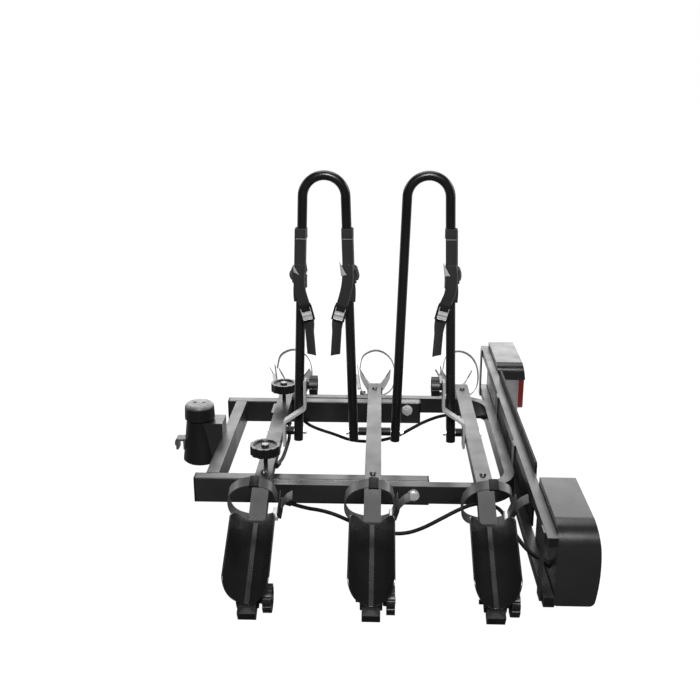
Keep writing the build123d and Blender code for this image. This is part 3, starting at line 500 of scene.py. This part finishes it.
edge_radius = {
    "side_tube": 0.0003, "cross_tube": 0.0003, "lamp_bars": 0.0003, "rear_u_tube": 0.0008,
    "board_posts": 0.0005, "hoop_lock_plates": 0.0007, "lamp_hood": 0.0012, "plate_holder": 0.0008,
    "tray_near": 0.0006, "tray_far": 0.0006, "tray_saddles": 0.0008, "tyre_buckles": 0.0008,
    "coupling_bracket": 0.0014, "coupling_jaw": 0.0014, "clamp_knob": 0.0005,
    "tilt_lock_knob": 0.0008, "hoop_lock_knob": 0.0007, "tray_knob": 0.0007,
}


def value_for(name, table):
    """The entry of table whose key is the longest start of name."""
    keys = [key for key in table if name.startswith(key)]
    return table[max(keys, key=len)] if keys else None


for name, node in nodes.items():
    node.data.materials.clear()
    node.data.materials.append(value_for(name, finish_of))
    radius = value_for(name, edge_radius)
    if radius:
        weld = node.modifiers.new("weld", "WELD")
        weld.merge_threshold = 0.00001
        bevel = node.modifiers.new("edges", "BEVEL")
        bevel.width = radius
        bevel.segments = 2
        bevel.limit_method = "ANGLE"
        bevel.angle_limit = radians(32)
        bevel.use_clamp_overlap = True
        flat_faces = node.modifiers.new("normals", "WEIGHTED_NORMAL")
        flat_faces.keep_sharp = True
print(len(nodes), "parts dressed")

# %% [markdown]
# ## Cables
#
# A cable is one smooth curve with a round section. Its control points, in millimetres, follow the route
# that the frame's own cable solids take, from the boot it leaves to the boot it enters. The order of the
# curve is set after its points, so that it bends smoothly instead of running straight between them.

# %% Cables
CABLE_D = 0.007
cable_routes = {
    "cable_rail": [
        (180.5, 40, 38), (184, 14, 26.5), (185.5, -20, 26.5), (186, -58, 31),
        (184.5, -100, 31), (182.5, -132, 33), (179.5, -160, 38.5),
    ],
    "cable_near": [
        (209, -231, -9.5), (236, -241, -13), (264, -250, -12), (292, -258, -16),
        (320, -265, -26), (356, -270, -38), (396, -275, -44.5), (424, -274.5, -43),
        (452, -271, -34), (484, -265, -18), (515, -256, -4), (544, -250, 6),
        (568, -256, 9), (586, -275, 10), (594, -305, 7), (600, -336, 3),
        (607, -363, 0), (615, -386, -4), (627, -407, -7), (640, -423, -8),
    ],
    "cable_far": [
        (182, 174, 27), (190, 180, 0), (208, 184, -22), (236, 178, -32),
        (270, 165, -37), (304, 142, -41), (340, 122, -36), (375, 115, -30),
        (412, 116, -19.5), (440, 121, -4), (470, 126, 12), (505, 134, 23),
        (545, 141, 26), (578, 140, 18.5), (598, 147, 16.5),
    ],
}


def make_cable(name):
    """A NURBS cable along its route."""
    route = [[value / 1000 for value in point] for point in cable_routes[name]]
    data = bpy.data.curves.new(name + "_cord", "CURVE")
    data.dimensions = "3D"
    line = data.splines.new("NURBS")
    line.points.add(len(route) - 1)
    for point, place in zip(line.points, route):
        point.co = (*place, 1)
    line.order_u = 3
    line.use_endpoint_u = True
    line.resolution_u = 12
    data.bevel_depth = CABLE_D / 2
    data.bevel_resolution = 4
    data.use_fill_caps = True
    data.materials.append(cable_black)
    cable = bpy.data.objects.new(name + "_cord", data)
    bpy.context.collection.objects.link(cable)
    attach(cable, "platform")
    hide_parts(name)


for name in cable_routes:
    make_cable(name)

# %% [markdown]
# ## Webbing straps
#
# Three hoop legs carry a webbing strap, put away for storage. A sewn ring holds the strap on the leg, the
# tape runs down the front, wraps the leg in a loose crossed knot, and hangs down through its cam buckle.
# Tape is flat and never stretches, so each stretch is a ribbon: a centre line, a direction across it, and
# a width that stays the same all along it. Solidify gives it its thickness.

# %% Ribbon helpers
TAPE_COLUMNS = 6  # faces across a ribbon


def smooth_path(points, steps=6):
    """Points on a smooth curve through the given ones."""
    padded = [2 * points[0] - points[1], *points, 2 * points[-1] - points[-2]]
    curve = []
    for a, b, c, d in zip(padded, padded[1:], padded[2:], padded[3:]):
        for k in range(steps):
            t = k / steps
            square = (2 * a - 5 * b + 4 * c - d) * t**2
            cube = (3 * b - a - 3 * c + d) * t**3
            curve.append(0.5 * (2 * b + (c - a) * t + square + cube))
    curve.append(points[-1])
    return curve


def fill_rows(bm, rows, place_on_tape):
    """Faces between rows of points. place_on_tape gives a corner's UV from its column and its row."""
    uv = bm.loops.layers.uv.verify()
    for n in range(len(rows) - 1):
        for k in range(len(rows[n]) - 1):
            corners = ((k, n), (k + 1, n), (k + 1, n + 1), (k, n + 1))
            face = bm.faces.new([rows[j][i] for i, j in corners])
            for loop, (i, j) in zip(face.loops, corners):
                loop[uv].uv = place_on_tape(i, j)


def ribbon(bm, centre, across, width, bow=0.0, start_v=0.0):
    """Adds a ribbon of faces along centre. across gives the sideways direction at each point, and bow,
    one value or one for each point, pushes the middle out along the ribbon's normal. Returns its length."""
    rows, distance = [], [start_v]
    for n, point in enumerate(centre):
        if n:
            distance.append(distance[-1] + (point - centre[n - 1]).length)
        along = (centre[min(n + 1, len(centre) - 1)] - centre[max(n - 1, 0)]).normalized()
        side = (across[n] - along * across[n].dot(along)).normalized()
        normal = side.cross(along)
        out = bow[n] if isinstance(bow, list) else bow
        row = []
        for k in range(TAPE_COLUMNS + 1):
            f = k / TAPE_COLUMNS * 2 - 1
            row.append(bm.verts.new(point + side * (f * width / 2) + normal * (out * (1 - f * f))))
        rows.append(row)
    fill_rows(bm, rows, lambda i, j: (i / TAPE_COLUMNS * width, distance[j]))
    return distance[-1] - start_v


def finish_ribbons(bm, name, thickness):
    """Turns the ribbons into a piece with a thickness and soft edges."""
    mesh = bpy.data.meshes.new(name)
    bm.to_mesh(mesh)
    bm.free()
    piece = bpy.data.objects.new(name, mesh)
    bpy.context.collection.objects.link(piece)
    bpy.ops.object.select_all(action="DESELECT")
    bpy.context.view_layer.objects.active = piece
    piece.select_set(True)
    solid = piece.modifiers.new("thickness", "SOLIDIFY")
    solid.thickness = thickness
    solid.offset = 0
    round_edges = piece.modifiers.new("edges", "BEVEL")
    round_edges.width = 0.0004
    round_edges.segments = 2
    round_edges.limit_method = "ANGLE"
    bpy.ops.object.modifier_apply(modifier="thickness")
    bpy.ops.object.modifier_apply(modifier="edges")
    bpy.ops.object.shade_smooth_by_angle(angle=radians(40))
    return piece


def join_as(name, parts):
    """Joins parts into one piece."""
    bpy.ops.object.select_all(action="DESELECT")
    for part in parts:
        part.select_set(True)
    bpy.context.view_layer.objects.active = parts[0]
    bpy.ops.object.join()
    piece = bpy.context.object
    piece.name = name
    return piece


# %% [markdown]
# Each strap sits on a leg of its own. The legs lean towards each other by just under two degrees, so the
# stretches that wrap a leg lean with it. For the hanging end, each strap has its own list of places in
# the hoop's plane, in millimetres from the knot. A row gives the hoop, its middle in X, and the leg's side.

# %% The straps' places
LEAN = radians(1.857)
HOOP_FOOT_Z, HOOP_FOOT_X = 0.020, 0.0575
KNOT_Z = 0.414
strap_rows = [
    ("hoop_1", 0.261, -1,
     [(-1, -20), (-4, -46), (-3, -70), (6, -104), (13, -132), (15.5, -163), (18.3, -204)]),
    ("hoop_1", 0.261, 1,
     [(0, -20), (1, -46), (-2, -70), (-11, -104), (-18.5, -131), (-21, -163), (-23.7, -204)]),
    ("hoop_2", 0.461, 1,
     [(0, -20), (3, -46), (0, -76), (-8, -98), (-17, -133), (-20, -167), (-22, -204)]),
]


def leg_at(middle, side, z):
    """Centre of a hoop leg at height z."""
    return Vector((middle + side * (HOOP_FOOT_X - tan(LEAN) * (z - HOOP_FOOT_Z)), 0, z))


def wrap(bm, middle, side, z, radii, tilt, start, sweep, width, start_v, puff=0.0):
    """A stretch of tape round a leg, in a plane tilted by tilt. radii are along X and Y. puff makes it
    stand out at its outer side, where a loose knot bulges."""
    steps = 36
    centre, across, bows = [], [], []
    for k in range(steps + 1):
        angle = start + sweep * k / steps
        outer = max(0.0, cos(angle) * side)
        x = (radii[0] + puff * 0.3 * outer) * cos(angle)
        height = z + x * tan(tilt)
        centre.append(leg_at(middle, side, height) + Vector((x, radii[1] * sin(angle), 0)))
        across.append(Vector((-sin(tilt) * 0.8 * sin(angle) ** 2, 0, cos(tilt))))
        bows.append(-puff * outer**0.5 if sweep > 0 else puff * outer**0.5)
    return ribbon(bm, centre, across, width, bows, start_v)


# %% [markdown]
# One strap is a chain of six stretches, each starting where the last one ends in the UV map. The two
# turns of the knot run round the leg in opposite tilts, so that they cross on the front and bulge at the
# outer side. The hanging end turns on its own axis towards its free end. Where the tape goes into the
# knot, a corner is folded over, and its flat side faces up; its light grey colour is a painted sheen for the
# light it catches.

# %% Model the three straps
TAPE_W, TAPE_T, FOLD_T = 0.0235, 0.0013, 0.0010
RING_W, KNOT_W, UNDER_W = 0.0190, 0.0225, 0.0215
RING_Z, RING_RADII = 0.4535, (0.0115, 0.0113)
RING_OUT, FRONT_OUT, KNOT_OUT = 0.0012, 0.0015, 0.0028  # steps outwards from the leg's axis
# each turn of the knot: its height, radii, tilt, start from the front, share of a full turn, where minus
# runs the other way, and bulge on a leg at either side
KNOT_TURNS = (
    (0.381, (0.0133, 0.0128), -0.50, -0.9, 0.84, {-1: 0.0036, 1: 0.0036}),
    (0.363, (0.0142, 0.0142), 0.45, 0.7, -0.82, {-1: 0.0062, 1: 0.0042}),
)
# heights down the leg, and how far in front of its axis the tape runs there
FRONT = ((0.4625, 0.0126), (0.4475, 0.0128), (0.43, 0.0128), (0.41, 0.0128), (0.398, 0.0132), (0.382, 0.0142))
# the same below the knot, with the step to the side in between
UNDER = ((0.362, 0.002, 0.0128), (0.345, 0.0035, 0.0122), (0.330, 0.0030, 0.0118), (0.319, 0.0020, 0.0115))
# and how far in front of the axis each of the hanging end's places is
HANG_Y = (0.0176, 0.0186, 0.0178, 0.0165, 0.0168, 0.0172, 0.0150)
FRONT_BOW, UNDER_BOW, HANG_BOW = 0.0016, 0.0010, 0.0008  # how far the tape's middle stands out
TWIST_FROM, TWIST = 0.66, 0.62  # the share of the hanging end where it starts to turn, and its turn
# the folded corner: the step to the side, depth and height of each row's middle, and the row's width
FOLD = (
    (-0.0025, -0.0192, 0.3740, 0.001), (-0.0065, -0.0195, 0.3780, 0.008),
    (-0.0105, -0.0190, 0.3825, 0.018), (-0.0145, -0.0172, 0.3865, 0.029),
)
SIDEWAYS = Vector((1, 0, 0))


def twisted(count, bend_from, angle):
    """Sideways directions that turn by angle after the given share of the path."""
    turns = []
    for k in range(count):
        share = max(0.0, (k / (count - 1) - bend_from) / (1 - bend_from))
        turn = angle * min(1.0, share * 3)
        turns.append(Vector((cos(turn), sin(turn), 0)))
    return turns


def tape_on_leg(bm, middle, side, offsets):
    """All the tape of one strap, from its ring to its free end. Returns its length."""
    length = wrap(bm, middle + side * RING_OUT, side, RING_Z, RING_RADII, 0, 0, 2 * pi, RING_W, 0)

    # sewn to the ring, down the front of the leg
    front = smooth_path([leg_at(middle, side, z) + Vector((side * FRONT_OUT, -y, 0)) for z, y in FRONT])
    length += ribbon(bm, front, [SIDEWAYS] * len(front), TAPE_W, FRONT_BOW, length)

    # the knot
    for z, radii, tilt, start, share, puff in KNOT_TURNS:
        length += wrap(
            bm, middle + side * KNOT_OUT, side, z, radii, side * tilt, -pi / 2 + side * start,
            side * 2 * pi * share, KNOT_W, length, puff[side],
        )

    # out of the knot and down the leg, behind the hanging end
    under = smooth_path([leg_at(middle, side, z) + Vector((side * x, -y, 0)) for z, x, y in UNDER], 4)
    length += ribbon(bm, under, [SIDEWAYS] * len(under), UNDER_W, UNDER_BOW, length)

    # from the knot through the buckle to the free end
    top = leg_at(middle, side, KNOT_Z)
    hang = [Vector((top.x + dx / 1000, -y, KNOT_Z + dz / 1000)) for (dx, dz), y in zip(offsets, HANG_Y)]
    hang = smooth_path(hang)
    length += ribbon(bm, hang, twisted(len(hang), TWIST_FROM, side * TWIST), KNOT_W, HANG_BOW, length)
    return length


def corner_fold(number, middle, side, start_v):
    """The tape's folded corner at the top of the knot. The first strap's is smaller and on the other side."""
    bm = bmesh.new()
    size, towards = (0.55, -side) if number == 1 else (1.0, side)
    direction = Vector((-towards * 0.12, 0.10, 1)).normalized()  # across the tape, nearly upright
    rows = []
    for x, y, z, wide in FOLD:
        point = leg_at(middle, side, z) + Vector((towards * x, y, 0))
        reach = direction * (wide * size)
        rows.append([bm.verts.new(point + reach * (k / 4 - 0.5)) for k in range(5)])
    fill_rows(bm, rows, lambda i, j: (i * 0.005, start_v + j * 0.0035))
    piece = finish_ribbons(bm, f"knot_fold_{number}", FOLD_T)
    # the folded corner's light grey finish is a painted sheen
    piece.data.materials.append(webbing_painted_sheen)
    return piece


for number, (body, middle, side, offsets) in enumerate(strap_rows, 1):
    bm = bmesh.new()
    length = tape_on_leg(bm, middle, side, offsets)
    strap = finish_ribbons(bm, f"webbing_strap_{number}", TAPE_T)
    strap.data.materials.append(webbing_black)
    piece = join_as(f"webbing_strap_{number}", [strap, corner_fold(number, middle, side, length)])
    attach(piece, body)
    print(piece.name, "tape length", round(length, 3))
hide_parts("leg_straps_1")
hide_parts("leg_straps_2")

# %% [markdown]
# ## Small modelled fittings
#
# The rest starts as cubes, shaped in edit mode. A cube is added at its size, cut across by bisect planes,
# and the faces between two cuts are pulled out or squeezed, which is how a stamped or moulded fitting gets
# its walls. Faces are picked in code, by where their centres are and which way they look.

# %% Block helpers
X, Z = 0, 2  # the axes that a block is cut along
FACING = 0.9  # a face looks along an axis when its normal has more than this of it


def start_block(name, size):
    """A cube of the given size at the origin, in edit mode."""
    bpy.ops.object.select_all(action="DESELECT")
    bpy.ops.mesh.primitive_cube_add(size=1)
    block = bpy.context.object
    block.name = name
    block.scale = size
    bpy.ops.object.transform_apply(location=True, rotation=True, scale=True)
    bpy.ops.object.mode_set(mode="EDIT")
    return block


def cut(axis, places):
    """Bisects the mesh in edit mode at each place along one axis."""
    direction = [0, 0, 0]
    direction[axis] = 1
    for value in places:
        bpy.ops.mesh.select_all(action="SELECT")
        bpy.ops.mesh.bisect(plane_co=[value * d for d in direction], plane_no=direction)


def pick(block, test):
    """Selects the faces whose centre and normal pass the test."""
    bpy.ops.mesh.select_mode(type="FACE")
    bpy.ops.mesh.select_all(action="DESELECT")
    shape = bmesh.from_edit_mesh(block.data)
    for face in shape.faces:
        face.select_set(test(face.calc_center_median(), face.normal))
    bmesh.update_edit_mesh(block.data)


def pull(step):
    """Extrudes the selected faces by step."""
    bpy.ops.mesh.extrude_region_move(TRANSFORM_OT_translate={"value": step})


def soften(block, width, finish, segments=2):
    """Leaves edit mode, rounds the sharp edges, shades the piece and gives it its finish."""
    bpy.ops.object.mode_set(mode="OBJECT")
    edges = block.modifiers.new("edges", "BEVEL")
    edges.width = width
    edges.segments = segments
    edges.limit_method = "ANGLE"
    edges.angle_limit = radians(40)
    bpy.ops.object.modifier_apply(modifier="edges")
    bpy.ops.object.shade_smooth_by_angle(angle=radians(35))
    block.data.materials.append(finish)
    print(block.name, len(block.data.polygons), "faces")


def copy_at(model, name, matrix):
    """A copy of model with its own mesh, put in place and applied, so its object stays at the origin."""
    piece = model.copy()
    piece.data = model.data.copy()
    piece.name = name
    bpy.context.collection.objects.link(piece)
    bpy.ops.object.select_all(action="DESELECT")
    bpy.context.view_layer.objects.active = piece
    piece.select_set(True)
    piece.matrix_world = matrix
    bpy.ops.object.transform_apply(location=True, rotation=True, scale=True)
    return piece


# %% [markdown]
# A cam buckle is a pressed channel with a sprung lever between its cheeks. The tape goes under the lever,
# whose ridged thumb pad shows. The channel is black, and the lever bare grey metal. The channel is one
# plate whose side strips are pulled forward as cheeks and whose bottom strip becomes the lip.

# %% Cam buckle channel
CHEEK_X, CHEEK_TOP, LIP_TOP = 0.0117, 0.0100, -0.0140

channel_model = start_block("channel_model", (0.0262, 0.0012, 0.034))
cut(X, (-CHEEK_X, CHEEK_X))
cut(Z, (LIP_TOP, CHEEK_TOP))
pick(channel_model, lambda c, n: n.y < -FACING and abs(c.x) > CHEEK_X and c.z < CHEEK_TOP)
pull((0, -0.0062, 0))
pick(channel_model, lambda c, n: n.y < -FACING and abs(c.x) < CHEEK_X and c.z < LIP_TOP)
pull((0, -0.0036, 0))
pick(channel_model, lambda c, n: n.z > FACING and c.z > 0.016)
bpy.ops.transform.resize(value=(0.88, 1, 1))
soften(channel_model, 0.0004, plug_black)

# %% [markdown]
# The lever is a thick pad. Three of its strips are pulled forward as ridges, two thin arms run up from
# its corners to the pin, and its lower end is narrowed and kicked forward, away from the tape, so that a
# thumb can lift it.

# %% Cam buckle lever
ARM_X = 0.0086
RIDGE_ZS = (-0.0048, 0.0003, 0.0028)

lever_model = start_block("lever_model", (0.0196, 0.0034, 0.0160))
cut(Z, (-0.0060, -0.0035, -0.0010, 0.0015, 0.0040))
cut(X, (-ARM_X, ARM_X))
pick(lever_model, lambda c, n: n.y < -FACING and min(abs(c.z - z) for z in RIDGE_ZS) < 0.0006)
pull((0, -0.0008, 0))
pick(lever_model, lambda c, n: n.z > FACING and abs(c.x) > ARM_X and c.z > 0.007)
pull((0, -0.0010, 0.0080))
pick(lever_model, lambda c, n: n.z < -FACING and c.z < -0.007)
bpy.ops.transform.resize(value=(0.90, 1, 1))
bpy.ops.transform.translate(value=(0, -0.0022, 0))
soften(lever_model, 0.0004, lever_grey)

# %% [markdown]
# Each strap's buckle sits on its hanging end, halfway between the fourth and the fifth of its places, and
# is turned with the tape there. The channel and the lever are copied to each place.

# %% Place the buckles
BUCKLE_Y = -0.0178
BUCKLE_UP = 0.003
LEVER_IN_CHANNEL = Matrix.Translation((0, -0.0052, -0.0062))

for number, (body, middle, side, offsets) in enumerate(strap_rows, 1):
    top = leg_at(middle, side, KNOT_Z)
    (x0, z0), (x1, z1) = offsets[3], offsets[4]
    lean = atan2(x0 - x1, z0 - z1)
    centre = Vector((top.x + (x0 + x1) / 2000, BUCKLE_Y, KNOT_Z + (z0 + z1) / 2000 + BUCKLE_UP))
    turn = Matrix.Translation(centre) @ Matrix.Rotation(lean, 4, "Y")
    channel = copy_at(channel_model, f"buckle_channel_{number}", turn)
    lever = copy_at(lever_model, f"buckle_lever_{number}", turn @ LEVER_IN_CHANNEL)
    for piece in (channel, lever):
        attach(piece, body)
    print("buckle", number, "leans", round(lean, 3))
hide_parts("cam_buckles_1")
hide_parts("cam_buckles_2")

# %% [markdown]
# Each near tyre strap carries two small mouldings: a black sleeve at the top of its loop, which keeps the
# strap off the rim, and a pale clip by the tray's upper corner. Both start as blocks. The sleeve's ends
# are drawn down to follow the loop, and a raised panel stands on its middle. The clip narrows towards its
# top and has a slot pressed into its side. Both its ends get a flat frame by an extrude without length,
# and those edges hold the rounding to 0.4 mm. The straps lie on a ramp that slopes by 28.8 degrees.

# %% Strap sleeves and clips
RAMP = radians(28.8)
FLAT_HALF, RAIL_TOP = 266, 52  # mm: the ramp bends down this far from the middle, at this height
STRAP_ALONG = 64  # mm down the ramp
SLEEVE_HEIGHT, CLIP_HEIGHT = 89.2, -6  # mm off the ramp
SLEEVE_HALF, SLOT_HALF = 0.0045, 0.0020


def on_ramp(x, along, height):
    """A place on the near ramp: along runs down it from its bend, height stands off it. All in mm."""
    y = -(FLAT_HALF + along * cos(RAMP) + height * sin(RAMP))
    z = RAIL_TOP - along * sin(RAMP) + height * cos(RAMP)
    return Matrix.Translation((x / 1000, y / 1000, z / 1000)) @ Matrix.Rotation(RAMP, 4, "X")


sleeve_model = start_block("sleeve_model", (0.0165, 0.0215, 0.0046))
cut(X, (-SLEEVE_HALF, SLEEVE_HALF))
pick(sleeve_model, lambda c, n: abs(n.x) > FACING)
bpy.ops.transform.translate(value=(0, 0, -0.0013))
pick(sleeve_model, lambda c, n: n.z > FACING and abs(c.x) < SLEEVE_HALF)
bpy.ops.mesh.inset(thickness=0.0012)
pull((0, 0, 0.0006))
soften(sleeve_model, 0.0006, sleeve_black)

clip_model = start_block("clip_model", (0.0095, 0.0205, 0.0135))
cut(Z, (-SLOT_HALF, SLOT_HALF))
pick(clip_model, lambda c, n: n.z > FACING)
bpy.ops.transform.resize(value=(0.72, 0.9, 1))
pick(clip_model, lambda c, n: abs(n.y) > FACING and abs(c.z) < SLOT_HALF)
bpy.ops.mesh.inset(thickness=0.0008)
pull((0, 0, 0))
pick(clip_model, lambda c, n: n.x > FACING and abs(c.z) < SLOT_HALF)
bpy.ops.mesh.inset(thickness=0.0008, depth=-0.0008)
soften(clip_model, 0.0006, clip_white)

for n, (sleeve_x, clip_x) in enumerate(((162, 191), (362, 394), (562, 593)), 1):
    sleeve = copy_at(sleeve_model, f"strap_sleeve_{n}", on_ramp(sleeve_x, STRAP_ALONG, SLEEVE_HEIGHT))
    clip = copy_at(clip_model, f"strap_clip_{n}", on_ramp(clip_x, STRAP_ALONG, CLIP_HEIGHT))
    for piece in (sleeve, clip):
        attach(piece, "platform")

# %% [markdown]
# The tape is sewn to its ring by a bar tack, a short row of pale stitches. One stitch is a small block
# with its ends drawn in, where the thread dives into the tape. The row bends back a little on both sides,
# as the tape does over the round leg. The five models have been copied by now and are removed.

# %% Bar tacks
STITCHES, TACK_W, TACK_Z = 11, 0.0205, 0.4435

stitch_model = start_block("stitch_model", (0.0019, 0.0007, 0.0012))
cut(X, (-0.0004, 0.0004))
pick(stitch_model, lambda c, n: abs(n.x) > FACING)
bpy.ops.transform.resize(value=(1, 0.4, 0.6))
soften(stitch_model, 0.0001, thread_pale, segments=1)
for number, (body, middle, side, offsets) in enumerate(strap_rows, 1):
    stitches = []
    for k in range(STITCHES):
        x = (k / (STITCHES - 1) - 0.5) * TACK_W
        spot = leg_at(middle, side, TACK_Z) + Vector((x, -0.0149 + abs(x) * 0.11, 0))
        stitches.append(copy_at(stitch_model, f"stitch_{k}", Matrix.Translation(spot)))
    tack = join_as(f"bar_tack_{number}", stitches)
    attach(tack, body)
for model in (channel_model, lever_model, sleeve_model, clip_model, stitch_model):
    bpy.data.objects.remove(model)
